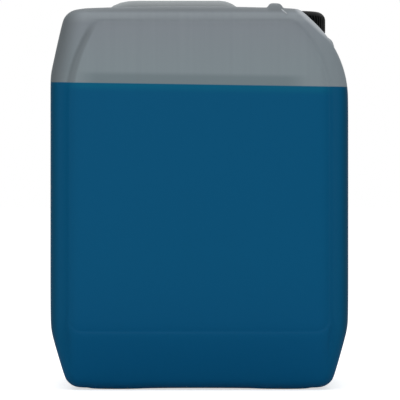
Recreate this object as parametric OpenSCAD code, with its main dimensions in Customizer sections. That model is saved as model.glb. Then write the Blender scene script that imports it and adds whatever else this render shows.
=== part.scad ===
// Stackable ten litre jerrycan of heat transfer fluid, blow-moulded in natural polyethylene.
// A handle runs between two shoulders, a recessed neck at one end carries a screw cap, and the fluid shows inside.
// The origin is the centre of the base. X runs from the rear end to the neck end, and the front face looks to -Y.

/* [Body] */
// Width, from the rear end to the neck end
body_w = 233; // [215:1:260]
// Depth, from the front face to the back face
body_d = 190; // [175:1:230]
// Height of the two shoulders on either side of the handle
shoulder_h = 300; // [280:1:340]
// Wall thickness of the moulding
wall = 1.5; // [1:0.1:2.2]
// Rounding of the edges round the front and back faces
edge_r = 8; // [6:0.5:8.5]
// How much the top of a shoulder is crowned along its length
top_crown = 1.5; // [1:0.5:6]

/* [Base] */
// Height of the lower part, whose walls draw in towards the base
draw_h = 47; // [35:1:60]
// How far each wall draws in at the base
draw_in = 13; // [6:0.5:18]
// Rounding of the two ends of the base
base_r = 13.5; // [12:0.5:24]
// Height of the two foot pads
foot_h = 1.2; // [0.6:0.1:2.5]
// Distance from an end of the can to the outer edge of a foot pad
foot_margin = 31.5; // [30:0.5:40]
// Length of a foot pad
foot_len = 38; // [25:1:60]

/* [Ends] */
// Height of the leaning part at the top of the rear end
lean_h = 58; // [40:1:80]
// How far the rear end leans in at its top
lean_in = 10.6; // [6:0.2:16]
// Rounding of the rear top corner
rear_r = 16; // [10:0.5:18]
// Slope of the shoulder above the neck end, in degrees
slope_angle = 42.4; // [35:0.2:48]
// How far from the neck end that slope starts
slope_run = 38.6; // [34:0.2:44]
// Rounding between the slope and the end wall
slope_r = 82; // [60:1:100]

/* [Face panel] */
// Margin between the end walls and the groove round the panel
panel_margin = 14.8; // [14:0.2:20]
// Height of the lower edge of the panel
panel_bottom = 45.4; // [40:0.2:60]
// Margin between the shoulder top and the groove
panel_top_margin = 12.5; // [12.5:0.5:20]
// Margin between the sloping shoulder and the groove
slope_margin = 11.6; // [11.4:0.2:16]
// Rounding of the panel's corner below the sloping shoulder
panel_r = 78; // [50:1:80]
// Depth of the panel below the rim round the face
panel_recess = 1; // [0.4:0.1:2]
// Depth of the groove round the panel
groove_depth = 2.2; // [1.2:0.1:2.6]
// How much the middle of the panel bulges
panel_crown = 0.6; // [0:0.1:0.9]

/* [Stacking lugs] */
// Height of the lug on each shoulder
lug_h = 3.6; // [2:0.1:6]
// Length of a lug along its top
lug_len = 8.4; // [6:0.2:16]
// Distance from the top of the slope back to the middle of a lug
lug_margin = 17.4; // [16:0.2:24]

/* [Grip channel] */
// Width of the channel floor between the shoulders
channel_w = 80; // [70:1:84]
// How much each channel wall leans out towards its top
channel_draft = 14; // [10:1:16]
// Depth of the channel floor below the shoulders
channel_depth = 54; // [46:1:60]
// Distance from the rear end to the rear wall of the finger gap, at the floor
gap_margin = 41.5; // [36:0.5:50]
// Distance from the neck's axis back to the rear edge of its platform
platform_len = 52.4; // [50:0.2:56]
// Depth of the neck platform below the shoulders
platform_drop = 22; // [18:0.5:26]
// Margin between the neck end and the platform's outer edge
platform_margin = 10; // [8:0.5:10]

/* [Handle] */
// Width of the handle
handle_w = 28; // [22:1:34]
// Thickness of the handle
handle_t = 20; // [16:0.5:22]
// How far the handle stands above the shoulders
handle_rise = 9.5; // [4:0.5:12]
// Centre line radius of the bend at the handle's front
handle_bend = 12; // [11.5:0.5:14]
// Distance from the neck's axis back to the handle's front post
post_margin = 44.4; // [43:0.2:46]
// Distance from the finger gap's rear wall to the place where the handle starts to fall
handle_run = 18; // [14:1:28]
// How far the handle falls at its rear end
handle_fall = 12.5; // [8:0.5:14]

/* [Neck] */
// Distance from the neck end to the axis of the neck
neck_from_end = 44.1; // [43.5:0.1:46]
// Outer diameter of the neck under its thread
neck_d = 48; // [40:0.5:48.5]
// Wall thickness of the neck
neck_wall = 2.2; // [1.6:0.1:3]
// Height of the neck above the platform
neck_h = 20; // [18:0.5:24]
// Height of the flange where the neck leaves the platform
flange_h = 1.5; // [1:0.1:2]
// How far the bead that holds the tamper ring stands out
bead = 1.4; // [1:0.1:1.6]
// Height of that bead
bead_h = 1.4; // [1:0.1:1.8]

/* [Cap] */
// Outer diameter of the cap over its ribs
cap_d = 60; // [58:0.5:62]
// Height of the cap
cap_h = 17.5; // [16:0.5:19]
// Thickness of the cap's top
cap_top_t = 2; // [1.5:0.1:3]
// Rounding of the cap's upper edge
cap_r = 7; // [3:0.5:8]
// Number of grip ribs
rib_count = 60; // [36:1:80]
// How far a rib stands out
rib_out = 0.8; // [0.4:0.1:1]
// Width of the space between neck and skirt, which the threads fill
thread_space = 2; // [1.8:0.1:2.2]
// Thickness of the sealing disc inside the cap
liner_t = 1; // [0.6:0.1:1.5]
// Height of the tamper ring
ring_h = 3.4; // [2.5:0.1:3.6]

/* [Fluid] */
// Depth of the fluid's surface below the channel's floor
fill_gap = 7.5; // [6:0.5:150]
// Tilt of the fluid's surface, down towards the neck end, in degrees
fill_tilt = 0.9; // [0:0.1:1]

/* [Hidden] */
$fn = 96;

natural = [0.62, 0.66, 0.68];
dark_blue = [0.0, 0.31, 0.46];
black = [0.06, 0.07, 0.07];

// Running clearance between pieces that sit in or round each other
fit = 0.3;

end_x = body_w / 2;
face_y = body_d / 2;
floor_z = shoulder_h - channel_depth;
platform_z = shoulder_h - platform_drop;
platform_end = end_x - platform_margin;
slope_x = end_x - slope_run;
neck_x = end_x - neck_from_end;
gap_rear = -end_x + gap_margin;
gap_front = neck_x - platform_len;
post_x = neck_x - post_margin;
handle_break = gap_rear + handle_run;
lug_x = slope_x - lug_margin;
foot_outer = end_x - foot_margin;
foot_inner = foot_outer - foot_len;
fill_h = floor_z - fill_gap;
neck_r = neck_d / 2;
bore_r = neck_r - neck_wall;
rim_z = platform_z + neck_h;
cap_inner_z = rim_z + liner_t;
cap_top_z = cap_inner_z + cap_top_t;
cap_base_z = cap_top_z - cap_h;
skirt_r = neck_r + thread_space;
ring_z = platform_z + flange_h + fit;
bead_z = ring_z + ring_h + fit;

// Roundings of the channel's floor and of its upper rims, and of the kinks above the base
floor_r = 5;
rim_r = 6;
kink_r = 60;
slope_end_r = 14;
lean_r = 100;

// Lean of the finger gap's front and rear walls
front_lean = 4;
rear_lean = 9;

// Points along each part of an outline, the same on every outline that is joined to another
base_n = 5;
kink_n = 3;
slope_n = 9;
corner_n = 4;
lean_n = 5;

function unit(v) = v / norm(v);
function mix(a, b, t) = a + (b - a) * t;
function ease(t) = t * t * (3 - 2 * t);
function steps(a, b, n) = [for (i = [1:n]) mix(a, b, i / (n + 1))];

// n points on the arc of radius r that rounds corner p, between its neighbours a and b
function arc(a, p, b, r, n) =
    let (u = unit(a - p), v = unit(b - p), half = acos(u * v) / 2, turn = 180 - 2 * half,
         c = p + unit(u + v) * r / sin(half), from = p + u * r / tan(half) - c, to = p + v * r / tan(half) - c)
    [for (i = [0:n - 1]) let (t = i / (n - 1)) c + (from * sin((1 - t) * turn) + to * sin(t * turn)) / sin(turn)];

// A closed outline, anticlockwise, moved inwards by d
function inset(pts, d) =
    let (n = len(pts))
    [for (i = [0:n - 1])
        let (p = pts[i], e = unit(p - pts[(i + n - 1) % n]), f = unit(pts[(i + 1) % n] - p),
             m = [-e.y - f.y, e.x + f.x])
        p + m * d / (1 + e * f)];

// Height of the crowned shoulder at x, whose highest point is a little behind the centre
crown_x = (slope_x - end_x + lean_in) / 2;
function shoulder_z(x) = shoulder_h - top_crown * pow((x - crown_x) / (slope_x - crown_x), 2);

// Run of the sloping end of a lug
lug_flank = 0.8 * lug_h;

// The floor of the grip channel, from the neck platform back to the rear end
platform_rear = [gap_front, platform_z];
floor_front = [gap_front - front_lean, floor_z];
floor_rear = [gap_rear, floor_z];
block_front = [gap_rear - rear_lean, shoulder_z(gap_rear - rear_lean)];
channel_line = concat(
    [for (out = [lug_len / 2 + lug_flank, lug_len / 2, -lug_len / 2, -lug_len / 2 - lug_flank]) let (x = lug_x + out)
        [x, platform_z]],
    arc([neck_x, platform_z], platform_rear, floor_front, floor_r, kink_n),
    arc(platform_rear, floor_front, floor_rear, floor_r, kink_n),
    [for (x = steps(gap_front, gap_rear, kink_n)) [x, floor_z]],
    arc(floor_front, floor_rear, block_front, floor_r, kink_n),
    arc(floor_rear, block_front, [-end_x, block_front.y], rim_r, kink_n));

// Outline of the shoulders, seen from the front, anticlockwise from the rear end of the base
rear_foot = [-end_x + draw_in, foot_h];
front_foot = [end_x - draw_in, foot_h];
front_kink = [end_x, draw_h];
rear_kink = [-end_x, draw_h];
slope_top = [slope_x, shoulder_z(slope_x)];
slope_foot = [end_x, slope_top.y - slope_run * tan(slope_angle)];
rear_top = [-end_x + lean_in, shoulder_z(-end_x + lean_in)];
lean_foot = [-end_x, shoulder_h - lean_h];
pad_flank = 4;
base_z = foot_h * 0.75;
foot_line = [
    [-foot_outer - foot_h, foot_h],
    [-foot_outer, 0],
    [-foot_inner, 0],
    [-foot_inner + pad_flank, base_z],
    [foot_inner - pad_flank, base_z],
    [foot_inner, 0],
    [foot_outer, 0],
    [foot_outer + foot_h, foot_h]
];

lower_line = concat(
    arc(rear_kink, rear_foot, front_foot, base_r, base_n),
    foot_line,
    arc(rear_foot, front_foot, front_kink, base_r, base_n),
    arc(front_foot, front_kink, slope_foot, kink_r, kink_n));
slope_line = arc(front_kink, slope_foot, slope_top, slope_r, slope_n);
slope_end_line = arc(slope_foot, slope_top, rear_top, slope_end_r, corner_n);
rear_line = concat(
    arc(slope_top, rear_top, lean_foot, rear_r, base_n),
    arc(rear_top, lean_foot, rear_kink, lean_r, lean_n),
    arc(lean_foot, rear_kink, rear_foot, kink_r, kink_n));

function is_lug(x) = abs(x - lug_x) < (lug_len + lug_flank) / 2;
function shoulder_outline(lug) = concat(
    lower_line,
    slope_line,
    slope_end_line,
    [for (p = channel_line) [p.x, shoulder_z(p.x) + (is_lug(p.x) ? lug_h * lug : 0)]],
    rear_line);

// Outline at the middle of the depth: end wall, neck platform, grip channel and rear end
shared_n = 5;
platform_r = 3;
channel_outline = concat(
    lower_line,
    [for (i = [0:shared_n - 1]) slope_line[i]],
    arc(slope_line[shared_n - 1], [platform_end, platform_z], [neck_x, platform_z], platform_r, slope_n - shared_n),
    [for (p = slope_end_line) [p.x, platform_z]],
    channel_line,
    rear_line);

// Outline of the panel on the front and back faces, whose straight lines start a little past its rounded corners
panel_corner_r = 10;
past_corner = 12;
panel_lean = lean_in + 9.4;
panel_x = end_x - panel_margin;
panel_top = shoulder_h - panel_top_margin;
panel_side = steps(panel_bottom + past_corner, panel_bottom + past_corner + 16, kink_n);
panel_slope_top = [slope_x + (slope_top.y - slope_margin / cos(slope_angle) - panel_top) / tan(slope_angle),
                   panel_top];
panel_slope_foot = [panel_x, panel_top - (panel_x - panel_slope_top.x) * tan(slope_angle)];
panel_lean_top = [-panel_x + panel_lean, panel_top];
panel_lean_foot = [-panel_x, panel_top - lean_h / 2];
panel_low_rear = [-panel_x, panel_bottom];
panel_low_front = [panel_x, panel_bottom];
panel_outline = concat(
    arc(panel_lean_foot, panel_low_rear, panel_low_front, panel_corner_r, base_n),
    [for (x = steps(-panel_x + past_corner, panel_x - past_corner, len(foot_line))) [x, panel_bottom]],
    arc(panel_low_rear, panel_low_front, panel_slope_foot, panel_corner_r, base_n),
    [for (z = panel_side) [panel_x, z]],
    arc(panel_low_front, panel_slope_foot, panel_slope_top, panel_r, slope_n),
    arc(panel_slope_foot, panel_slope_top, panel_lean_top, panel_corner_r, corner_n),
    [for (x = steps(panel_slope_top.x - 6, panel_lean_top.x + 6, len(channel_line))) [x, panel_top]],
    arc(panel_slope_top, panel_lean_top, panel_lean_foot, panel_corner_r - 1, base_n),
    arc(panel_lean_top, panel_lean_foot, panel_low_rear, lean_r - panel_margin, lean_n),
    [for (i = [kink_n - 1:-1:0]) [-panel_x, panel_side[i]]]);
panel_centre = [0, (panel_bottom + panel_top) / 2];

// The front and back faces draw in towards the base as the ends do, from a little below the panel's groove
below_groove = 2.4;
face_draw_h = panel_bottom - below_groove;
function drawn(y, z) = y * (1 - max(0, face_draw_h - z) / face_draw_h * draw_in / face_y);
function ring(outline, y) = [for (p = outline) [p.x, drawn(y, p.y), p.y]];

// Distances from the groove's line: inwards to the flat panel and to the groove's foot, and outwards to its flank
panel_flat = 7;
groove_foot = 2.5;
groove_flank = 1.8;
flank_depth = 0.6;
crest = 0.5;

// The part of the panel that its crown spans, and how much thicker the wall is in the groove, where plastic gathers
crown_part = 0.55;
groove_wall = 1.3;

// Rings of the front half of the surface that lies t inside the moulding's outside, from the face to the middle
function panel_rings(t) = [
    ring([for (p = panel_outline) mix(panel_centre, p, crown_part)], t + panel_recess - panel_crown - face_y),
    ring(inset(panel_outline, panel_flat), t + panel_recess - face_y),
    ring(inset(panel_outline, groove_foot), t + mix(panel_recess, groove_depth, 0.3) - face_y),
    ring(panel_outline, t * groove_wall + groove_depth - face_y),
    ring(inset(panel_outline, -groove_flank), t * groove_wall + flank_depth - face_y)
];
function edge_rings(t, n) = [
    ring(inset(shoulder_outline(0), edge_r + crest), t - face_y),
    each [for (i = [1:n])
        let (a = 90 * i / n, r = edge_r - t)
        ring(inset(shoulder_outline(t > 0 ? 0 : sin(a) * i / n), edge_r - r * sin(a)), edge_r - r * cos(a) - face_y)]
];

// The lugs start a little outside the rims of the grip channel
lug_set = 12;
lug_y = channel_w / 2 + channel_draft + lug_set;
function lug_rings() = [
    [for (p = shoulder_outline(1)) [p.x, -lug_y, p.y]],
    [for (p = shoulder_outline(0)) [p.x, lug_h - lug_y, p.y]]
];

// Where the middle outline stands out past the shoulders, at the platform's outer edge, the wall lies on its other side.
// The wall is thickest there, between the neck platform and the sloping shoulder.
thick_wall = 3 * wall;
first_slope = len(lower_line);
last_slope = first_slope + slope_n + corner_n - 1;
function channel_side(i) = channel_outline[i].x > shoulder_outline(0)[i].x + 0.5 ? -1 : 1;
function channel_rings(t, n) = [for (i = [0:n])
    let (s = i / n, y = channel_w / 2 + channel_draft * (1 - s),
         outline = mix(shoulder_outline(0), channel_outline, ease(s)),
         thin = inset(outline, t), thick = inset(outline, t > 0 ? thick_wall : 0))
    [for (k = [0:len(outline) - 1])
        let (p = k > first_slope + 2 && k <= last_slope ? thick[k] : thin[k])
        [p.x, -y - t * channel_side(k), p.y]]];

function mirrored(rings) = [for (i = [len(rings) - 1:-1:0]) [for (p = rings[i]) [p.x, -p.y, p.z]]];

function middle(pts) = [for (p = pts) 1] * pts / len(pts);

// A closed solid through rings of as many points each, with flat ends and each quad split along its shorter diagonal
module skin(rings) {
    n = len(rings[0]);
    m = len(rings);
    pts = [for (r = rings) each r, middle(rings[0]), middle(rings[m - 1])];
    sides = [for (j = [0:m - 2]) for (i = [0:n - 1])
        let (a = j * n + i, b = j * n + (i + 1) % n)
        each norm(pts[a] - pts[b + n]) < norm(pts[b] - pts[a + n])
            ? [[a, b, b + n], [a, b + n, a + n]]
            : [[a, b, a + n], [b, b + n, a + n]]];
    first_end = [for (i = [0:n - 1]) [(i + 1) % n, i, m * n]];
    last_end = [for (i = [0:n - 1]) [(m - 1) * n + i, (m - 1) * n + (i + 1) % n, m * n + 1]];
    polyhedron(points = pts, faces = concat(sides, first_end, last_end));
}

module outer_form() {
    front = concat(panel_rings(0), edge_rings(0, 4), lug_rings(), channel_rings(0, 6));
    skin(concat(front, mirrored(front)));
}

module cavity_form() {
    front = concat(panel_rings(wall), edge_rings(wall, 3), channel_rings(wall, 5));
    skin(concat(front, mirrored(front)));
}

// The handle's centre line in the middle plane, from inside the rear end to inside the neck platform
rear_root = 11;
post_root = 8;
fall_r = 40;
handle_z = shoulder_h + handle_rise - handle_t / 2;
handle_start = [block_front.x - rear_root, handle_z - handle_fall];
handle_end = [post_x, platform_z - wall - post_root];
handle_bend_at = [post_x, handle_z];
handle_break_at = [handle_break, handle_z];
handle_line = concat(
    [handle_start],
    arc(handle_start, handle_break_at, handle_bend_at, fall_r, 4),
    arc(handle_break_at, handle_bend_at, handle_end, handle_bend, 7),
    [handle_end]);

// A rounded rectangle, w wide and t high
function section(w, t, r) =
    let (c = [[w, t] / 2, [-w, t] / 2, [-w, -t] / 2, [w, -t] / 2])
    [for (i = [0:3]) each arc(c[(i + 3) % 4], c[i], c[(i + 1) % 4], r, 5)];

module handle_form(t) {
    last = len(handle_line) - 1;
    profile = section(handle_w - 2 * t, handle_t - 2 * t, handle_t / 2 - 1.5 - t);
    skin([for (i = [0:last])
        let (p = handle_line[i], d = unit(handle_line[min(i + 1, last)] - handle_line[max(i - 1, 0)]))
        [for (q = profile) [p.x - d.y * q.y, -q.x, p.y + d.x * q.y]]]);
}

// The moulding's walls and handle, with the hole that the neck stands in
module moulding() {
    difference() {
        union() {
            outer_form();
            handle_form(0);
        }
        cavity_form();
        handle_form(wall);
        translate([neck_x, 0, platform_z - wall - 6]) cylinder(r = neck_r - neck_wall / 2, h = neck_h, $fn = 48);
    }
}

module neck() {
    translate([neck_x, 0, 0])
        rotate_extrude()
            polygon([
                [bore_r, platform_z - wall - 0.5],
                [neck_r, platform_z - wall - 0.5],
                [neck_r, platform_z - wall / 2],
                [neck_r + 3, platform_z - wall / 2],
                [neck_r + 3, platform_z + flange_h],
                [neck_r, platform_z + flange_h],
                [neck_r, bead_z],
                [neck_r + bead, bead_z],
                [neck_r + bead, bead_z + bead_h / 2],
                [neck_r, bead_z + bead_h],
                [neck_r, rim_z - 0.8],
                [neck_r - 0.8, rim_z],
                [bore_r, rim_z]
            ]);
}

module canister() {
    color(natural) {
        resize([body_w, body_d, 0]) moulding();
        neck();
    }
}

module fluid() {
    front = concat(panel_rings(wall + fit), edge_rings(wall + fit, 3));
    color(dark_blue)
        difference() {
            skin(concat(front, mirrored(front)));
            translate([0, 0, fill_h])
                rotate([0, fill_tilt, 0])
                    translate([-body_w, -body_d, 0]) cube([2 * body_w, 2 * body_d, shoulder_h]);
        }
}

module tamper_ring() {
    color(black)
        translate([neck_x, 0, ring_z])
            difference() {
                cylinder(r = cap_d / 2 - rib_out, h = ring_h);
                translate([0, 0, -1]) cylinder(r = neck_r + fit, h = ring_h + 2);
            }
}

module cap_liner() {
    color("white")
        translate([neck_x, 0, rim_z]) cylinder(r = skirt_r - fit, h = liner_t);
}

// Outline of the ribbed skirt, with flat-topped ribs
function rib_outline(root, tip) =
    let (step = 360 / rib_count)
    [for (i = [0:rib_count - 1]) each [
        for (c = [[root, -0.3], [tip, -0.15], [tip, 0.15], [root, 0.3]])
            c.x * [cos((i + c.y) * step), sin((i + c.y) * step)]]];

module screw_cap() {
    skirt_outer = cap_d / 2 - rib_out;
    color(black)
        translate([neck_x, 0, 0])
            difference() {
                union() {
                    translate([0, 0, cap_base_z])
                        rotate_extrude()
                            polygon(concat(
                                [[0, 0], [skirt_outer, 0]],
                                [for (i = [0:8]) [skirt_outer - cap_r * (1 - cos(i * 11.25)),
                                                  cap_h - cap_r * (1 - sin(i * 11.25))]],
                                [[0, cap_h]]));
                    translate([0, 0, cap_base_z + 0.6])
                        linear_extrude(cap_h - cap_r - 0.6) polygon(rib_outline(skirt_outer - 0.1, cap_d / 2));
                }
                translate([0, 0, cap_base_z - 1]) cylinder(r = skirt_r, h = cap_inner_z - cap_base_z + 1);
            }
}

canister();
fluid();
tamper_ring();
cap_liner();
screw_cap();
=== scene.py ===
# %% [markdown]
# # A ten litre jerrycan of heat transfer fluid
# The can is blow-moulded in natural polyethylene, which lets the blue fluid inside show through its wall.
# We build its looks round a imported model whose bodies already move: the can, the seal and the screw cap.
# First the model is loaded. Its nodes are the frame, and each new piece rides on one of its bodies.

import math

import bpy
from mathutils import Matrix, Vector


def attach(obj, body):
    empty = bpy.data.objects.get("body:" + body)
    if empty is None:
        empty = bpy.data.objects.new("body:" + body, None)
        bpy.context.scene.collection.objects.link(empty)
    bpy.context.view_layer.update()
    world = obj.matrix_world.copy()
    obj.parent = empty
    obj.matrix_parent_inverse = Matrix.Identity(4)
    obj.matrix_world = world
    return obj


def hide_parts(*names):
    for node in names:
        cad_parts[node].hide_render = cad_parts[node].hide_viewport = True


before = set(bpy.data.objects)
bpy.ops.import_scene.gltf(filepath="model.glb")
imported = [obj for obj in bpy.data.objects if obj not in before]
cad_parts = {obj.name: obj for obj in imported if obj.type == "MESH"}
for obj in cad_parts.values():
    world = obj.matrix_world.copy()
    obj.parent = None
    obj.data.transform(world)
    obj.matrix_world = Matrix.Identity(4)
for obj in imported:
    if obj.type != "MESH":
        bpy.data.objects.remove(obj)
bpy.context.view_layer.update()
print("nodes:", sorted(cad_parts))

# %% Sizes in millimetres, from the middle of the base
MM = 0.001
END, FACE, TOP = 116.5, 95, 300  # half the width, half the depth, and the shoulders' height
FLOOR, PLATFORM = 246, 278  # heights of the channel's floor and of the neck's platform
SLOPE = END - 38.2  # where the slope at the neck end starts
SLOPE_SIN, SLOPE_COS = math.sin(math.radians(42.4)), math.cos(math.radians(42.4))
LUG, LUG_HALF, LUG_H = 59.3, 4.5, 3.9  # a stacking lug's place, half its length, and its height
DRAW_IN = 13  # how far each wall draws in at the base
PANEL_IN = 14.8  # from the end of the can to the edge of the face's panel
NECK, RIM = 72.4, 298  # the neck's axis and the height of its rim
NECK_R, BORE_R = 24, 21.8

# %% [markdown]
# ## Camera
# The photograph looks straight at the front face from about the middle of its height, and the can fills the
# frame. A long lens from two and a half metres gives the little perspective that it has. The image is 400
# pixels square.

# %% Camera
camera_data = bpy.data.cameras.new("camera")
camera_data.sensor_width, camera_data.lens = 36, 278.1
camera = bpy.data.objects.new("camera", camera_data)
camera.location = (0.0005, -2.5, 0.1485)
camera.rotation_euler = (math.pi / 2, 0, 0)
bpy.context.scene.collection.objects.link(camera)
bpy.context.scene.camera = camera
bpy.context.scene.view_settings.view_transform = "Standard"
view_width = camera_data.sensor_width / camera_data.lens * (-camera.location.y / MM - FACE)
print("width of the view at the front face, mm:", round(view_width, 1))

# %% [markdown]
# ## Shader maths
# A finish is worked out by a chain of nodes. Written as Python, a sum of two sockets is just `a + b`.
# One small class wraps an output socket, so that each operator adds the Math node that it stands for.
# Every other node comes from one method, which sets its choices first and then fills or links its sockets.

# %% A finish and its sockets
class Socket:
    """An output in a finish, on which Python's operators work."""

    def __init__(self, finish, output):
        self.finish, self.output = finish, output

    def maths(self, operation, first, second):
        return self.finish.node("Math", {"operation": operation}, {0: first, 1: second})

    def __add__(self, other):
        return self.maths("ADD", self, other)

    def __sub__(self, other):
        return self.maths("SUBTRACT", self, other)

    def __rsub__(self, other):
        return self.maths("SUBTRACT", other, self)

    def __mul__(self, other):
        return self.maths("MULTIPLY", self, other)

    __radd__, __rmul__ = __add__, __mul__


class Finish:
    """The nodes of a material, or of the world."""

    def __init__(self, owner):
        owner.use_nodes = True
        self.owner, self.tree = owner, owner.node_tree
        self.tree.nodes.clear()

    def node(self, kind, settings=None, sockets=None, output=0):
        made = self.tree.nodes.new("ShaderNode" + kind)
        for key, value in (settings or {}).items():
            setattr(made, key, value)
        for key, value in (sockets or {}).items():
            if isinstance(value, Socket):
                self.tree.links.new(value.output, made.inputs[key])
            else:
                made.inputs[key].default_value = value
        return Socket(self, made.outputs[output]) if made.outputs else made

    def place(self):
        """Where a point of the piece lies, as three values in metres."""
        at = self.node("TexCoord", output="Object")
        return at, [self.node("SeparateXYZ", None, {0: at}, output=axis) for axis in "XYZ"]

    def rise(self, value, low, high):
        """0 below low, 1 above high, and a smooth step between them."""
        return self.node("MapRange", {"interpolation_type": "SMOOTHSTEP"},
                         {"Value": value, "From Min": low, "From Max": high})

    def noise(self, at, scale, detail=2.0, roughness=0.5):
        sockets = {"Vector": at, "Scale": scale, "Detail": detail, "Roughness": roughness}
        return self.node("TexNoise", None, sockets)

    def blend(self, factor, first, second):
        """The first colour where factor is 0, the second where it is 1."""
        return self.node("Mix", {"data_type": "RGBA"}, {0: factor, 6: first, 7: second}, output=2)

    def bump(self, height, distance, strength=1.0, below=None):
        sockets = {"Height": height, "Distance": distance, "Strength": strength}
        if below:
            sockets["Normal"] = below
        return self.node("Bump", None, sockets)

    def surface(self, **sockets):
        """Ends the finish in the general shader. Underscores in a socket's name stand for spaces."""
        shader = self.node("BsdfPrincipled", None, {key.replace("_", " "): v for key, v in sockets.items()})
        self.node("OutputMaterial", None, {"Surface": shader})
        print("finish", self.owner.name, "has", len(self.tree.nodes), "nodes")
        return self.owner


def new_finish(name):
    return Finish(bpy.data.materials.new(name))


def colour(red, green, blue):
    """A colour as a screen shows it, 0 to 255, turned into the light that it stands for."""
    parts = [c / 255 for c in (red, green, blue)]
    return (*[c / 12.92 if c < 0.04045 else ((c + 0.055) / 1.055) ** 2.4 for c in parts], 1)


# %% [markdown]
# ## Natural polyethylene with fluid behind it
# The wall is milky and lets through what touches it. Below the level it takes the fluid's dark blue, and
# above it the grey of the shaded space inside. Just above the level a band of painted shade lies under the
# channel's floor, and near its edges painted shade makes the can darker, where light has a longer way through
# the wall. Painted highlights mark the rounded edges at the top of the face and slope, and the handle's top.
# Painting this by place keeps the level sharp, as it is on the real can, and costs no render time. The tube
# that the can was blown from leaves faint streaks that run up and down, which are a noise squeezed to a
# fiftieth of its height.

# %% Where the wall changes its tone
# Places in a finish are in metres. A rise from a high value to a low one is 1 below the low one.
LEVEL = 238.5 * MM
TILT = math.tan(math.radians(0.9))  # in the photograph the level slopes down a little towards the neck end


def head_tones(f, x, y, z, depth, streaks):
    """The greys above the fluid, with painted shade and painted highlights."""
    near_face = f.rise(y * y, 0.072 ** 2, 0.089 ** 2)
    grey = f.blend(f.rise(z, 0.244, 0.296), colour(136, 147, 151), colour(136, 142, 148))
    # The shade of the channel's floor, just above the level
    shade = f.rise(depth, 0.0100, 0.0055) * f.rise(x, -0.100, -0.078) * f.rise(x, 0.090, 0.066)
    grey = f.blend(shade * 0.85, grey, colour(115, 128, 132))
    # Painted highlight on the rounded edge at the top of the face where it turns, and painted shade above
    # that
    crest_highlight = f.rise(z, 0.2855, 0.2900) * f.rise(z, 0.2965, 0.2930) * near_face
    grey = f.blend(crest_highlight * 0.75, grey, colour(149, 156, 160))
    grey = f.blend(f.rise(z, 0.2935, 0.2970) * near_face * 0.8, grey, colour(113, 118, 120))
    # Painted shade along the edge at the rear end, which leans in above 242 mm
    lean = f.node("Math", {"operation": "MAXIMUM"}, {0: (z - 0.242) * 0.183, 1: 0.0})
    from_rear = x + END * MM - lean
    grey = f.blend(f.rise(from_rear, 0.019, 0.001) * near_face * 0.95, grey, colour(92, 97, 99))
    # Painted shade in the groove at the panel's rear edge, which bends forwards above 222 mm
    above = f.node("Math", {"operation": "MAXIMUM"}, {0: z - 0.222, 1: 0.0})
    from_groove = x + (END - PANEL_IN) * MM - above * above * 4.69
    groove_shade = f.rise(from_groove * from_groove, 0.0042 ** 2, 0.0003 ** 2) * f.rise(z, 0.290, 0.276) * near_face
    grey = f.blend(groove_shade * 0.5, grey, colour(96, 102, 104))
    # Painted shade towards the neck end, and a painted highlight along the rim of its slope
    grey = f.blend(f.rise(x, 0.084, 0.110) * near_face * 0.5, grey, colour(122, 130, 135))
    from_slope = (x - 0.0788) * SLOPE_SIN + (z - 0.2977) * SLOPE_COS
    slope_highlight = f.rise(from_slope, -0.0050, -0.0020) * f.rise(z, 0.266, 0.280) * f.rise(x, 0.070, 0.080)
    grey = f.blend(slope_highlight * f.rise(y * y, 0.0850 ** 2, 0.0905 ** 2) * 0.85, grey, colour(190, 194, 198))
    # Painted light on the top of the handle, which stands above the shoulders
    grey = f.blend(f.rise(z, 0.300, 0.306) * f.rise(x, 0.042, 0.038), grey, colour(152, 156, 157))
    return f.blend(streaks * 0.3, grey, colour(118, 125, 130))


def fluid_tones(f, x, z, depth, cloud, streaks):
    """The blues where fluid touches the wall: a little darker towards the base, a paler teal of painted light
    just under the level, and painted shade at the two ends.
    """
    blue = f.blend(f.rise(z, 0.020, 0.110), colour(0, 80, 121), colour(1, 84, 123))
    # Painted light: a paler teal just under the level
    blue = f.blend(f.rise(depth, -0.0075, -0.0015) * 0.8, blue, colour(5, 99, 128))
    blue = f.blend(cloud * 0.25 + streaks * 0.15, blue, colour(0, 79, 117))
    # Painted shade at the two ends, darkest at the very ends
    blue = f.blend(f.rise(x * x, 0.092 ** 2, 0.108 ** 2) * 0.9, blue, colour(1, 77, 113))
    return f.blend(f.rise(x * x, 0.108 ** 2, 0.1155 ** 2) * 0.8, blue, colour(3, 62, 86))


# %% Finish of the moulding
def natural_finish():
    f = new_finish("milky_wall")
    at, (x, y, z) = f.place()
    depth = z + x * TILT - LEVEL
    cloud = f.noise(at, 14, 3)
    grain = f.noise(at, 900, 2)
    streaks = f.noise(f.node("VectorMath", {"operation": "MULTIPLY"}, {0: at, 1: (1, 1, 0.02)}), 220, 2)
    paint = f.blend(f.rise(depth, 0.0004, -0.0004), head_tones(f, x, y, z, depth, streaks),
                    fluid_tones(f, x, z, depth, cloud, streaks))
    waves = f.bump(cloud + streaks * 0.08, 0.0006, 0.35)
    return f.surface(Base_Color=paint, Roughness=0.34 + grain * 0.16, Specular_IOR_Level=0.06,
                     Normal=f.bump(grain, 0.00006, 0.5, waves))


natural = natural_finish()

# %% [markdown]
# ## The outline of the can
# Blow moulding presses a hot tube of plastic into a mould, so every edge comes out round and every face a
# little slack. We describe the can by closed outlines, seen from the front, at different depths. Each
# outline has the same number of points, so that neighbours can be joined. A corner is a short arc of points
# between two straight lines.

# %% Corners and offsets
def unit(v):
    length = math.hypot(*v)
    return v[0] / length, v[1] / length


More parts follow.
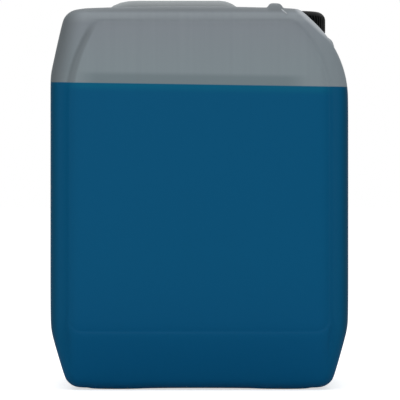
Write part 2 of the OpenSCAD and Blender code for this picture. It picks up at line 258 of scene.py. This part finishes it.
def corner(a, p, b, radius, count=5):
    """Points on the arc that rounds corner p, between its neighbours a and b."""
    u, v = unit((a[0] - p[0], a[1] - p[1])), unit((b[0] - p[0], b[1] - p[1]))
    half = math.acos(max(-1, min(1, u[0] * v[0] + u[1] * v[1]))) / 2
    turn = math.pi - 2 * half
    w = unit((u[0] + v[0], u[1] + v[1]))
    centre = [p[i] + w[i] * radius / math.sin(half) for i in (0, 1)]
    first = [p[i] + u[i] * radius / math.tan(half) - centre[i] for i in (0, 1)]
    last = [p[i] + v[i] * radius / math.tan(half) - centre[i] for i in (0, 1)]
    parts = [k / (count - 1) for k in range(count)]
    return [tuple(centre[i] + (first[i] * math.sin((1 - t) * turn) + last[i] * math.sin(t * turn))
                  / math.sin(turn) for i in (0, 1)) for t in parts]


def inset(points, distance):
    """A closed outline moved inwards."""
    moved = []
    for i, p in enumerate(points):
        q, r = points[i - 1], points[(i + 1) % len(points)]
        e, f = unit((p[0] - q[0], p[1] - q[1])), unit((r[0] - p[0], r[1] - p[1]))
        k = distance / (1 + e[0] * f[0] + e[1] * f[1])
        moved.append((p[0] - (e[1] + f[1]) * k, p[1] + (e[0] + f[0]) * k))
    return moved


def between(a, b, count):
    """Evenly spaced values between a and b, without the two."""
    return [a + (b - a) * k / (count + 1) for k in range(1, count + 1)]


def mixed(first, second, t):
    """The outline that lies at the share t of the way from the first to the second."""
    return [tuple(a + (b - a) * t for a, b in zip(p, q)) for p, q in zip(first, second)]


# %% Lines that all outlines share, in millimetres
CREST, FALL_REAR, FALL_FRONT = -14, 2.3, 1.8  # where the shoulder is highest, and how far its two ends fall


def top(x):
    """Height of the shoulder, which is crowned a little more towards the rear."""
    return TOP - (FALL_REAR if x < CREST else FALL_FRONT) * ((x - CREST) / (SLOPE - CREST)) ** 2


rear_foot, front_foot = (DRAW_IN - END, 1.2), (END - DRAW_IN, 1.2)
front_kink, rear_kink = (END, 49.5), (-END, 47)
slope_top = (SLOPE, top(SLOPE))
slope_foot = (END, slope_top[1] - (END - SLOPE) * SLOPE_SIN / SLOPE_COS)
rear_top, lean_foot = (11.4 - END, top(11.4 - END)), (-END, 246)
foot_line = [(-86.2, 1.2), (-85, 0), (-47, 0), (-43, 0.9), (43, 0.9), (47, 0), (85, 0), (86.2, 1.2)]
lower = (corner(rear_kink, rear_foot, front_foot, 13.5, 5) + foot_line
         + corner(rear_foot, front_foot, front_kink, 13.5, 5)
         + corner(front_foot, front_kink, slope_foot, 60, 3))
side_heights = between(70, 216, 5)
front_side = [(END, z) for z in side_heights]
slope = corner(front_kink, slope_foot, slope_top, 82, 9)
slope_end = corner(slope_foot, slope_top, rear_top, 11, 4)
rear = (corner(slope_top, rear_top, lean_foot, 14, 5) + corner(rear_top, lean_foot, rear_kink, 60, 5)
        + [(-END, z) for z in reversed(side_heights)] + corner(lean_foot, rear_kink, rear_foot, 60, 3))
# The grip channel's two ends: the wall under the post, and the wall of the rear block
post_top, post_low, block_low, block = (20, PLATFORM), (16, FLOOR), (-75, FLOOR), (-84, top(-84))
# How far out from a lug's end, and the share of its height that is reached there
lug_steps = ((2.9, 0), (1.9, 0), (0.2, 0.75), (-1.5, 1))
lug_line = [LUG + LUG_HALF + out for out, _ in lug_steps]
lug_line += [LUG - LUG_HALF - out for out, _ in reversed(lug_steps)]
floor_line = [(x, FLOOR) for x in between(post_top[0], block_low[0], 3)]
channel = ([(x, PLATFORM) for x in lug_line] + corner((NECK, PLATFORM), post_top, post_low, 4, 3)
           + corner(post_top, post_low, block_low, 5, 3) + floor_line
           + corner(post_low, block_low, block, 5, 3) + corner(block_low, block, (-END, block[1]), 6, 3))
print("points on the lower line:", len(lower), "and on the channel:", len(channel))


# %% The three outlines
def shoulder_outline(lug):
    """The outline at a shoulder, where lug is the share of the lugs' height that it reaches."""
    rises = [share for _, share in lug_steps]
    rises += rises[::-1] + [0] * (len(channel) - 2 * len(lug_steps))
    raised = [(x, top(x) + LUG_H * lug * rise) for (x, _), rise in zip(channel, rises)]
    return lower + front_side + slope + slope_end + raised + rear


# The neck's platform runs out over the slope with a small rounding.
platform_edge = corner(slope[4], (106, PLATFORM - 0.6), (NECK, PLATFORM - 0.6), 5.5, 4)
channel_outline = (lower + front_side + slope[:5] + platform_edge + [(x, PLATFORM) for x, _ in slope_end]
                   + channel + rear)
P_X, P_LOW, P_TOP = END - PANEL_IN, 45.4, 287.5
BELOW_SLOPE = 11.6  # from the slope to the panel's edge
p_slope_x = SLOPE + (slope_top[1] - BELOW_SLOPE / SLOPE_COS - P_TOP) * SLOPE_COS / SLOPE_SIN
# The panel's corners: two at the slope, two where its rear edge leans in, and two at its foot
p_slope = ((P_X, P_TOP - (P_X - p_slope_x) * SLOPE_SIN / SLOPE_COS), (p_slope_x, P_TOP))
p_lean = ((20 - P_X, P_TOP), (-P_X, P_TOP - 37))
p_low = ((-P_X, P_LOW), (P_X, P_LOW))
p_sides = between(P_LOW + 12, P_LOW + 28, 3)
panel_outline = (corner(p_lean[1], *p_low, 10, 5)
                 + [(x, P_LOW) for x in between(12 - P_X, P_X - 12, len(foot_line))]
                 + corner(*p_low, p_slope[0], 10, 5) + [(P_X, z) for z in p_sides + side_heights]
                 + corner(p_low[1], *p_slope, 78, 9) + corner(*p_slope, p_lean[0], 10, 4)
                 + [(x, P_TOP) for x in between(p_slope_x - 6, p_lean[0][0] + 6, len(channel))]
                 + corner(p_slope[1], *p_lean, 9, 5) + corner(*p_lean, p_low[0], 88, 5)
                 + [(-P_X, z) for z in reversed(p_sides + side_heights)])
print("points on an outline:", len(shoulder_outline(0)), len(channel_outline), len(panel_outline))

# %% [markdown]
# ## Rings through the depth
# From the middle of the front panel the rings run outwards over its groove, round the edge of the face,
# over the shoulder with its stacking lug and down the channel's wall to the middle of the can. The back
# half is a mirror. Towards the base the faces draw in, as the ends do, so that the can leaves its mould and
# stands on a smaller foot.

# %% Rings
FOOT_TOP = P_LOW - 2.4  # below this height the walls draw in


def ring(outline, y):
    """An outline at depth y, drawn in below the panel."""
    return [(x, y * (1 - max(0, FOOT_TOP - z) / FOOT_TOP * DRAW_IN / FACE), z) for x, z in outline]


def level_ring(outline, y):
    """An outline at depth y all over."""
    return [(x, y, z) for x, z in outline]


EDGE, LUG_END = 8, 62  # radius of the face's rounded edge, and the depth at which a lug ends
CHANNEL_TOP, CHANNEL_LOW = 54, 40  # half the channel's width at its top and at its floor
plain = shoulder_outline(0)
middle_of_panel = [(0, (P_LOW + P_TOP) / 2)] * len(plain)
# The panel is a little fuller in its middle than at its edge.
rings = [ring(mixed(middle_of_panel, panel_outline, t), 0.4 + 0.5 * t ** 3 - FACE)
         for t in (0.15, 0.35, 0.6, 0.8)]
rings += [ring(inset(panel_outline, d), y - FACE) for d, y in ((7, 1.0), (2.5, 1.4), (0, 2.2), (-1.8, 0.6))]
rings += [ring(inset(plain, EDGE + 0.5), -FACE)]
for k in range(1, 5):
    turn = math.pi / 2 * k / 4
    rings.append(ring(inset(shoulder_outline(math.sin(turn) * k / 4), EDGE - EDGE * math.sin(turn)),
                      EDGE - EDGE * math.cos(turn) - FACE))
rings += [level_ring(shoulder_outline(1), -LUG_END - 4), level_ring(plain, -LUG_END)]
for k in range(7):
    s = k / 6
    rings.append(level_ring(mixed(plain, channel_outline, s * s * (3 - 2 * s)),
                            -CHANNEL_LOW - (CHANNEL_TOP - CHANNEL_LOW) * (1 - s)))
rings += [[(x, -y, z) for x, y, z in r] for r in reversed(rings)]
print("rings:", len(rings))

# %% [markdown]
# ## Modelling by extrusion
# Lofting by hand means one loop of vertices that is extruded again and again, each copy set on its own
# ring. Blender's circle is the first loop. A Subdivision Surface then rounds the quads, and its curvature
# is what catches the light.

# %% Helpers for pieces
def settle(piece, name):
    """Names a finished piece, puts its place in its mesh and leaves it in object mode."""
    bpy.ops.object.mode_set(mode="OBJECT")
    piece.name = piece.data.name = name
    bpy.ops.object.transform_apply(location=True, rotation=True, scale=True)
    return piece


def modify(piece, kind, **values):
    """Adds a modifier and applies it."""
    made = piece.modifiers.new(kind, kind)
    for key, value in values.items():
        setattr(made, key, value)
    bpy.ops.object.select_all(action="DESELECT")
    bpy.context.view_layer.objects.active = piece
    piece.select_set(True)
    bpy.ops.object.modifier_apply(modifier=made.name)


def select(piece, kind, test):
    """Selects the vertices, edges or faces of the piece that pass the test, and leaves edit mode on."""
    bpy.ops.object.mode_set(mode="EDIT")
    bpy.ops.mesh.select_mode(type=kind)
    bpy.ops.mesh.select_all(action="DESELECT")
    bpy.ops.object.mode_set(mode="OBJECT")
    parts = {"VERT": piece.data.vertices, "EDGE": piece.data.edges, "FACE": piece.data.polygons}[kind]
    count = 0
    for part in parts:
        part.select = bool(test(part))
        count += part.select
    bpy.ops.object.mode_set(mode="EDIT")
    return count


def tidy(piece):
    """Merges doubled points and turns every face outwards."""
    bpy.ops.object.mode_set(mode="EDIT")
    bpy.ops.mesh.select_mode(type="VERT")
    bpy.ops.mesh.select_all(action="SELECT")
    bpy.ops.mesh.remove_doubles(threshold=0.00001)
    bpy.ops.mesh.normals_make_consistent(inside=False)
    bpy.ops.object.mode_set(mode="OBJECT")


def lofted(name, rings, smooth_levels=0):
    """A closed skin through rings of as many points each, given in millimetres."""
    bpy.ops.object.select_all(action="DESELECT")
    bpy.ops.mesh.primitive_circle_add(vertices=len(rings[0]), radius=0.1, fill_type="NGON",
                                      enter_editmode=True)
    piece = bpy.context.object
    bpy.ops.mesh.select_all(action="SELECT")
    for _ in rings[1:]:
        bpy.ops.mesh.extrude_region_move()
    bpy.ops.object.mode_set(mode="OBJECT")
    points = [p for one in rings for p in one]
    for vertex, point in zip(piece.data.vertices, points, strict=True):
        vertex.co = [c * MM for c in point]
    tidy(piece)
    if smooth_levels:
        modify(piece, "SUBSURF", levels=smooth_levels, render_levels=smooth_levels)
    settle(piece, name)
    bpy.ops.object.shade_smooth()
    print(name, "has", len(piece.data.polygons), "faces")
    return piece


# %% The moulding
moulding = lofted("moulding", rings, 2)

# %% [markdown]
# ## Webs that brace the lugs
# A short, thin web runs from each stacking lug over the rounded edge of the face. It is painted paler than
# the wall round it, a painted highlight along its ridge. We loft a small trapezoid round most of the edge's
# quarter turn.

# %% Lug webs
# Where a web starts, how far it runs towards the neck end, and its arc in degrees
WEB_X, WEB_DRIFT, WEB_END = 62, 6.3, 70


def lug_web(name, side):
    """A web on the front face, where side is -1, or on the back."""
    section = [(w, EDGE + h) for w, h in ((-1, -0.5), (-0.45, 0.5), (0.45, 0.5), (1, -0.5))]
    beads = []
    for degrees in range(0, WEB_END + 1, 10):
        a = math.radians(degrees)
        x = WEB_X + WEB_DRIFT * (1 - math.cos(a)) / (1 - math.cos(math.radians(WEB_END)))
        beads.append([(x + w, side * (FACE - EDGE + r * math.sin(a)), top(x) - EDGE + r * math.cos(a))
                      for w, r in section])
    return lofted(name, beads, 1)


webs = [lug_web("lug_web_front", -1), lug_web("lug_web_back", 1)]

# %% [markdown]
# ## The handle
# The handle is a hollow bar of the same moulding. It leaves the rear block, runs level between the
# shoulders, bends down and widens into the neck platform. We loft a rounded section along a line in the
# middle plane, and let the section swell at both ends, which gives the soft fillets where the bar grows out
# of the walls.

# %% Handle
BAR_W, BAR_T = 14, 10  # half the bar's width and half its thickness
HANDLE_Z, POST = TOP + 9.5 - BAR_T, 28  # the bar's middle, and where its post stands
rear_fall = [(block[0] - 13, HANDLE_Z - 15)] + [(x, HANDLE_Z - drop) for x, drop in (
    (block[0] - 3, 12.6), (-78, 11.8), (-73, 10.1), (-69.7, 7.6), (-67.3, 4.9),
    (-64.5, 2.7), (-60.8, 1.2), (-56, 0.3), (-49, 0))]
bend = corner(rear_fall[-1], (POST, HANDLE_Z), (POST, PLATFORM - 3), 12, 8)
spine = (rear_fall + [(x, HANDLE_Z) for x in (-30, -10, 5)] + bend
         + [(POST, PLATFORM + 5), (POST, PLATFORM + 1.6), (POST, PLATFORM + 0.2), (POST, PLATFORM - 2)])
swell = {0: 3.0, len(spine) - 4: 0.3, len(spine) - 3: 1.3, len(spine) - 2: 3.4, len(spine) - 1: 4.0}


def bar_section(grow):
    """The bar's rounded rectangle, made larger by grow on every side."""
    w, t = BAR_W + grow, BAR_T + grow
    c = [(w, t), (-w, t), (-w, -t), (w, -t)]
    return [q for i in range(4) for q in corner(c[i - 1], c[i], c[(i + 1) % 4], 8.3, 6)]


def headed(path):
    """Each point of a path in the middle plane, with the direction in which the path runs there."""
    for i, p in enumerate(path):
        before, after = path[max(i - 1, 0)], path[min(i + 1, len(path) - 1)]
        yield p, unit((after[0] - before[0], after[1] - before[1]))


sections = [[(p[0] - d[1] * v, -u, p[1] + d[0] * v) for u, v in bar_section(swell.get(i, 0))]
            for i, (p, d) in enumerate(headed(spine))]
handle = lofted("handle", sections, 1)

# %% [markdown]
# ## The parting line
# The two halves of the mould meet in the middle plane and leave a fine raised line there: up the rear end,
# along the base, where the tube was pinched off, up the neck end and over the handle. We sweep a tiny
# rounded section along it.

# %% Parting line
def seam_along(name, path, outwards):
    """A fine bead in the middle plane. outwards is 1 if the outside is to the right of the path, else -1."""
    high, wide = 0.28, 0.5
    section = ((-wide, -0.5), (wide, -0.5), (wide, 0), (0.12, high), (-0.12, high), (-wide, 0))
    beads = []
    for p, d in headed(path):
        n = (d[1] * outwards, -d[0] * outwards)
        beads.append([(p[0] + n[0] * h, w, p[1] + n[1] * h) for w, h in section])
    return lofted(name, beads)


slope_first = len(lower) + len(front_side)
rear_first = slope_first + len(slope) + len(slope_end) + len(channel)
around = channel_outline[rear_first - 3:] + channel_outline[:slope_first + 8]
ridge = list(headed([p for p in spine if -95 < p[0] < POST + 1 and p[1] > PLATFORM + 6]))
reach = BAR_T - 0.05  # the bead starts just inside the bar
over = [(p[0] - d[1] * reach, p[1] + d[0] * reach) for p, d in ridge]
under = [(p[0] + d[1] * reach, p[1] - d[0] * reach) for p, d in ridge]
seams = [seam_along("parting_line", around, 1), seam_along("handle_seam", over, -1),
         seam_along("grip_seam", under, 1)]

# %% [markdown]
# ## Turned pieces
# The neck, the cap and the ring that shows tampering are round. For each we draw half of its section as a
# line of vertices and spin that line round the neck's axis, which is how they look on a lathe.

# %% Spinning a section
def spun(name, profile, steps):
    """A turned shape round the neck's axis. Its closed profile is (radius, height) in millimetres."""
    bpy.ops.object.select_all(action="DESELECT")
    bpy.ops.mesh.primitive_plane_add(size=0.01, enter_editmode=True)
    piece = bpy.context.object
    bpy.ops.mesh.select_mode(type="VERT")
    bpy.ops.mesh.select_all(action="SELECT")
    bpy.ops.mesh.merge(type="CENTER")
    bpy.ops.transform.translate(value=((NECK + profile[0][0]) * MM, 0, profile[0][1] * MM))
    for (r, z), (r2, z2) in zip(profile, profile[1:] + profile[:1]):
        bpy.ops.mesh.extrude_region_move(TRANSFORM_OT_translate={"value": ((r2 - r) * MM, 0, (z2 - z) * MM)})
    bpy.ops.mesh.select_all(action="SELECT")
    bpy.ops.mesh.spin(steps=steps, angle=2 * math.pi, center=(NECK * MM, 0, 0), axis=(0, 0, 1))
    tidy(piece)
    return settle(piece, name)


# %% Neck
FLANGE_R, FLANGE_Z, NECK_LOW = 26.6, 279.5, 276  # the flange round the neck's foot, and the lower end
neck = spun("neck", [(BORE_R, NECK_LOW), (FLANGE_R, NECK_LOW),
                     *corner((FLANGE_R, NECK_LOW), (FLANGE_R, FLANGE_Z), (NECK_R, FLANGE_Z), 0.7),
                     *corner((FLANGE_R, FLANGE_Z), (NECK_R, FLANGE_Z), (NECK_R, RIM), 0.8),
                     (NECK_R, 283.5), (25.3, 283.55), (25.4, 284.2), (NECK_R, 285), (NECK_R, RIM - 1.2),
                     *corner((NECK_R, NECK_LOW), (NECK_R, RIM), (BORE_R, RIM), 0.7),
                     *corner((NECK_R, RIM), (BORE_R, RIM), (BORE_R, NECK_LOW), 0.7)], 96)
bpy.ops.object.shade_smooth_by_angle(angle=math.radians(35))
print("neck faces:", len(neck.data.polygons))

# %% [markdown]
# ## The way in
# Under the neck the shell is open, and the fluid can be seen when the cap is off. A turned cutter, as wide
# as the bore at the top and wider below the wall, is taken out of the moulding with the Boolean modifier.

# %% Bore
WIDE, BORE_FOOT, BORE_TOP = 28, LEVEL / MM - 3, PLATFORM + 5
cutter = spun("bore", [(0, BORE_FOOT), (WIDE, BORE_FOOT), (WIDE, NECK_LOW - 0.6), (BORE_R, NECK_LOW),
                       (BORE_R, BORE_TOP), (0, BORE_TOP)], 96)
modify(moulding, "BOOLEAN", operation="DIFFERENCE", solver="EXACT", object=cutter)
bpy.data.objects.remove(cutter)
bpy.ops.object.shade_smooth_by_angle(angle=math.radians(50))
print("moulding with its bore:", len(moulding.data.polygons), "faces")

# %% [markdown]
# ## Threads
# The cap rises six millimetres a turn on a coarse thread. The Screw modifier sweeps a small section round
# the axis while it climbs, and gives the ridge on the neck and, half a turn of climb away, the one inside
# the cap.

# %% Thread
PITCH, STEPS = 6, 72  # climb of a turn, and its number of steps
THREAD_HALF, THREAD_LOW = 1.1, 287.6  # half the thread's height at its root, and where the neck's starts


def thread(name, radius, outwards, low, turns):
    """A ridge round the neck's axis that climbs one pitch a turn, tapered at both ends."""
    bpy.ops.object.select_all(action="DESELECT")
    bpy.ops.mesh.primitive_plane_add(size=1, enter_editmode=True)
    piece = bpy.context.object
    bpy.ops.object.mode_set(mode="OBJECT")
    s = 1 if outwards else -1
    root = -0.4  # the ridge is rooted this far inside its wall
    shape = [(root, -THREAD_HALF), (1.35, -0.35), (root, THREAD_HALF), (1.35, 0.35)]
    for vertex, (out, up) in zip(piece.data.vertices, shape):
        vertex.co = ((radius + s * out) * MM, 0, up * MM)
    steps = round(STEPS * turns)
    modify(piece, "SCREW", angle=2 * math.pi * turns, screw_offset=PITCH * MM * turns, steps=steps,
           render_steps=steps, axis="Z", use_merge_vertices=False)
    root_r = (radius + s * root) * MM
    for vertex in piece.data.vertices:
        x, y, z = vertex.co
        turn = (z / MM + THREAD_HALF) / PITCH
        fade = max(0.05, min(1, turn * 5, (turns + 2 * THREAD_HALF / PITCH - turn) * 5))
        r = math.hypot(x, y)
        thin = (root_r + (r - root_r) * fade) / r
        vertex.co = (x * thin + NECK * MM, y * thin, z + low * MM)
    tidy(piece)
    settle(piece, name)
    bpy.ops.object.shade_smooth_by_angle(angle=math.radians(40))
    return piece


CAP_BORE = 26
neck_thread = thread("neck_thread", NECK_R, True, THREAD_LOW, 1.35)
cap_thread = thread("cap_thread", CAP_BORE, False, THREAD_LOW - PITCH / 2, 1.6)
print("thread faces:", len(neck_thread.data.polygons), "and", len(cap_thread.data.polygons))

# %% [markdown]
# ## Screw cap
# The cap's side carries sixty grip ribs under a large soft rounding. A spun section with 240 steps has four
# faces to a rib: two stay, and two are pushed in by an inset, whose narrow border makes the sloping sides
# of the ribs.

# %% Cap
BASE_Z, CAP_Z, CAP_R, CROWN_R, LINER = 283.5, 300.3, 29.4, 7, 1
CAP_STEPS, RING_STEPS = 240, 160
crown = [(CAP_R - CROWN_R * (1 - math.cos(a)), CAP_Z - CROWN_R * (1 - math.sin(a)))
         for a in (math.radians(9 * k) for k in range(1, 11))]
cap = spun("cap", [(CAP_BORE, BASE_Z), (CAP_R - 0.3, BASE_Z), (CAP_R, BASE_Z + 0.3), (CAP_R, BASE_Z + 1.4),
                   (CAP_R, 293.2), (CAP_R, CAP_Z - CROWN_R), *crown, (19.5, CAP_Z), (18.7, CAP_Z - 0.5),
                   (17.5, CAP_Z - 0.6), (0, CAP_Z - 0.6), (0, RIM + LINER), (CAP_BORE, RIM + LINER)],
           CAP_STEPS)


def on_side(face, radius, steps):
    """The step round the neck's axis at which a face outside the radius lies, or None further in."""
    x, y, z = face.center
    x -= NECK * MM
    if math.hypot(x, y) > radius * MM:
        return int(math.degrees(math.atan2(y, x)) % 360 / (360 / steps))
    return None


def between_ribs(face):
    """True for the two steps in four that lie lower than the ribs, along the upright part of the side."""
    step = on_side(face, 28.4, CAP_STEPS)
    return step is not None and step % 4 > 1 and BASE_Z + 1.2 < face.center.z / MM < CAP_Z - 3.6


def push_in(piece, test, border, depth):
    """Pushes the faces that pass the test into the piece, with a narrow border round them, in millimetres."""
    count = select(piece, "FACE", test)
    bpy.ops.mesh.inset(thickness=border * MM, depth=-depth * MM)
    bpy.ops.object.mode_set(mode="OBJECT")
    bpy.ops.object.shade_smooth_by_angle(angle=math.radians(35))
    print(piece.name, "has", count, "faces pushed in, of", len(piece.data.polygons))


push_in(cap, between_ribs, 0.12, 0.9)

# %% [markdown]
# ## Tamper ring
# The ring sits under the bead of the neck. Small bridges held it to the cap until the first opening, and
# where each was moulded on, a shallow dent is left in the ring's side: twenty of them, at every eighth of
# its 160 steps.

# %% Ring
RING_IN, RING_R, RING_LOW, RING_TOP = 24.4, 28.8, 279.9, 282.9
inner, outer, upper = (RING_IN, RING_LOW), (RING_R, RING_LOW), (RING_R, RING_TOP)
ring_piece = spun("tamper_band", [inner, *corner(inner, outer, upper, 0.5, 3),
                                  *corner(outer, upper, (RING_IN, RING_TOP), 0.4, 3), (25.9, RING_TOP),
                                  (25.6, 282.2), (RING_IN, 281.6)], RING_STEPS)


def at_a_bridge(face):
    """True where a bridge was moulded on, at every eighth step."""
    step = on_side(face, RING_R - 0.1, RING_STEPS)
    return step is not None and step % 8 == 0


push_in(ring_piece, at_a_bridge, 0.2, 0.4)

# %% [markdown]
# ## The rest of the finishes
# The webs at the lugs are painted pale and matt, a painted highlight along their ridges. The cap and ring
# are black plastic from an eroded mould: rough, with a fine grain. The fluid is dark and glossy where it can
# be seen down the neck,
# and the sealing disc is white foam with fine pores.

# %% Finishes
# Painted highlight for the lug webs: pale greys with a fine mottle stand in for the light along their ridges
def web_highlight_finish():
    f = new_finish("web_painted_highlight")
    at, _ = f.place()
    highlight_mottle = f.noise(at, 700, 3)
    return f.surface(Base_Color=f.blend(highlight_mottle, colour(168, 173, 176), colour(196, 200, 203)), Roughness=0.5,
                     Specular_IOR_Level=0.06, Normal=f.bump(highlight_mottle, 0.00008, 0.6))


def black_finish():
    f = new_finish("black_moulding")
    at, _ = f.place()
    grain, patch = f.noise(at, 1400, 2), f.noise(at, 60, 2)
    paint = f.blend(patch, colour(5, 7, 7), colour(13, 15, 15))
    return f.surface(Base_Color=paint, Roughness=0.42 + grain * 0.2, Specular_IOR_Level=0.06,
                     Normal=f.bump(grain, 0.00008, 0.6))


def fluid_finish():
    f = new_finish("blue_liquid")
    at, _ = f.place()
    swirl = f.noise(at, 25, 2)
    return f.surface(Base_Color=f.blend(swirl, colour(0, 62, 98), colour(2, 84, 120)), Roughness=0.06,
                     IOR=1.36)


def foam_finish():
    f = new_finish("closed_cell_foam")
    at, _ = f.place()
    pores = f.noise(at, 1800, 3)
    return f.surface(Base_Color=f.blend(pores, colour(226, 226, 220), colour(240, 240, 236)), Roughness=0.85,
                     Normal=f.bump(pores, 0.0001, 0.5))


web_highlight, black, liquid, foam = web_highlight_finish(), black_finish(), fluid_finish(), foam_finish()

# %% [markdown]
# ## Hang the pieces on the bodies
# A piece replaces the plain node that it stands for and rides on that node's body, so it moves when the
# joints do.

# %% Dress and ride
def dress(piece, finish):
    """Gives a piece its one finish."""
    piece.data.materials.clear()
    piece.data.materials.append(finish)


wall_pieces = (moulding, handle, neck, neck_thread, *seams, *webs)
black_pieces = ((ring_piece, "can", "tamper_ring"), (cap, "cap", "screw_cap"),
                (cap_thread, "cap", "screw_cap"))
for piece in wall_pieces:
    dress(piece, web_highlight if piece in webs else natural)
    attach(piece, "can")
    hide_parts("canister")
for piece, body, node in black_pieces:
    dress(piece, black)
    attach(piece, body)
    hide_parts(node)
dress(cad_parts["fluid"], liquid)
dress(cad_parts["cap_liner"], foam)
print("pieces dressed:", len(wall_pieces), "of the wall and", len(black_pieces), "in black")

# %% [markdown]
# ## Floor and light
# The photograph was cut out on white. A pale floor keeps the soft shadow, and the camera sees the world as
# white, while the light on the can comes from a broad panel in front, a lid of light above and an even,
# weaker surround.

# %% Stage
bpy.ops.object.select_all(action="DESELECT")
bpy.ops.mesh.primitive_plane_add(size=60, location=(0, 20, -0.0003))
floor = bpy.context.object
floor.name = "floor"
f = new_finish("pale_floor")
diffuse = f.node("BsdfDiffuse", None, {"Color": (0.8, 0.8, 0.8, 1)})
to_camera = f.node("LightPath", output="Is Camera Ray")
glow = f.node("Emission", None, {"Color": (1, 1, 1, 1), "Strength": to_camera * 0.62})
f.node("OutputMaterial", None, {"Surface": f.node("AddShader", None, {0: diffuse, 1: glow})})
dress(floor, f.owner)

world = Finish(bpy.data.worlds.new("studio"))
bpy.context.scene.world = world.owner
rays = [world.node("LightPath", output=f"Is {ray} Ray") for ray in ("Camera", "Glossy", "Transmission")]
seen = sum(rays, 0.0)
even = world.node("Background", None, {"Color": (0.96, 0.98, 1, 1), "Strength": 0.55})
white = world.node("Background", None, {"Color": (1, 1, 1, 1), "Strength": 1.0})
world.node("OutputWorld", None, {"Surface": world.node("MixShader", None, {0: seen, 1: even, 2: white})})
print("floor and world are ready")


def panel(name, size, power, place, aim):
    """A square of soft light."""
    data = bpy.data.lights.new(name, "AREA")
    data.size, data.energy = size, power
    lamp = bpy.data.objects.new(name, data)
    lamp.location = place
    lamp.rotation_euler = (Vector(aim) - Vector(place)).to_track_quat("-Z", "Y").to_euler()
    bpy.context.scene.collection.objects.link(lamp)


panel("front_panel", 1.6, 16, (-0.5, -2.2, 1.3), (0, 0, 0.15))
panel("lid_of_light", 1.4, 12, (0.1, 0.2, 1.7), (0, 0, 0.1))
print("lamps:", len(bpy.data.lights))
